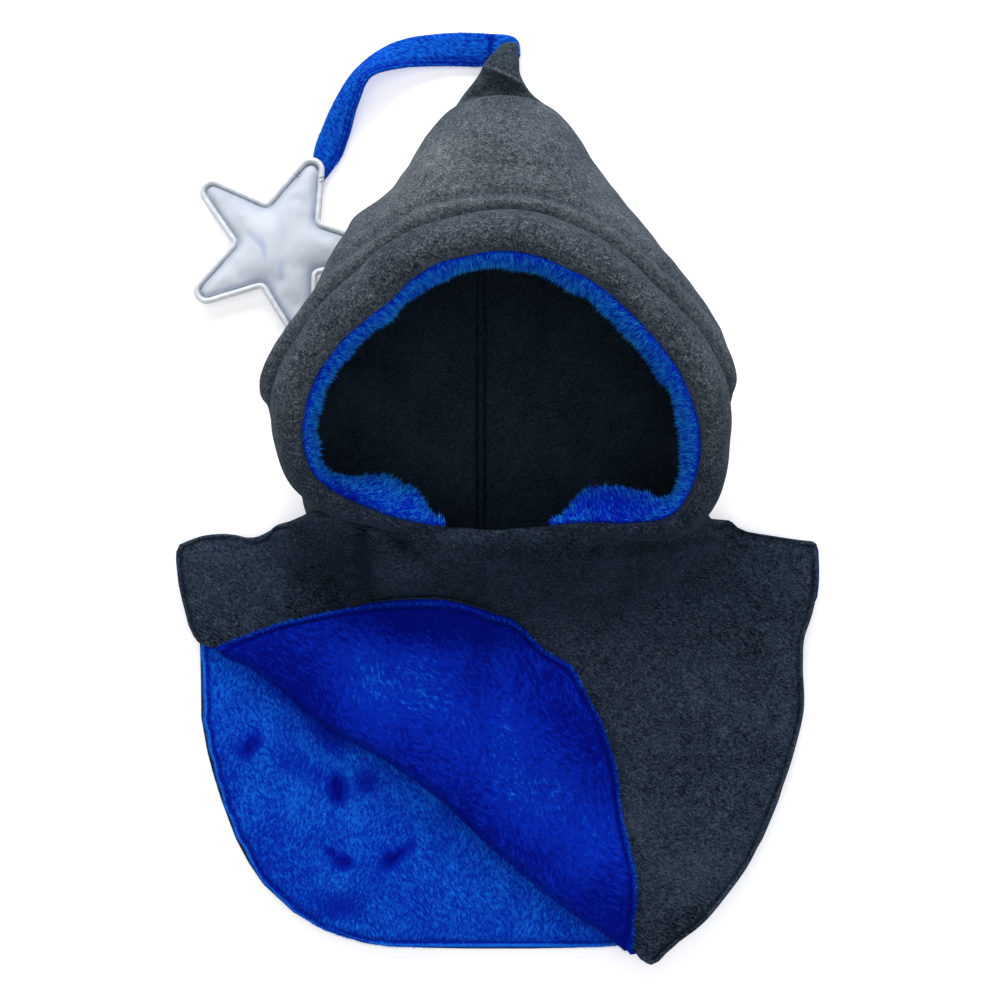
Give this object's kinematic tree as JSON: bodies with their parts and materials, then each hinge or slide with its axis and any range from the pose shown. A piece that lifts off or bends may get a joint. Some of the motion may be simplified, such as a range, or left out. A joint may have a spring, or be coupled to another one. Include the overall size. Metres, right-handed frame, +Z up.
{
  "type": "pixie hood",
  "caption": "Child's fleece pixie hood with a tall bent point, a plush-lined yoke with a corner turned up, and a plush strap that ends in a padded star, lying on its back.",
  "frame": {"origin": "on the surface that the hood lies on, under the back of the neck", "axes": "+Y from the hem towards the tip of the hood, +Z up from the surface, out through the face opening, +X towards the wearer's left"},
  "size_m": [0.3151, 0.4627, 0.115],
  "materials": {
    "charcoal_fleece": "matte heather fleece",
    "blue_plush": "short-pile plush",
    "blue_strap_plush": "short-pile plush",
    "white_piping": "smooth",
    "silver_cloth": "soft sheen"
  },
  "bodies": {
    "root": {"hood_shell": "charcoal_fleece", "face_band": "charcoal_fleece", "face_lining": "blue_plush", "front_panel": "charcoal_fleece", "front_lining": "blue_plush", "back_panel": "charcoal_fleece", "back_lining": "blue_plush", "strap": "blue_strap_plush", "star_rim": "white_piping", "star_pad": "silver_cloth"}
  },
  "joints": []
}
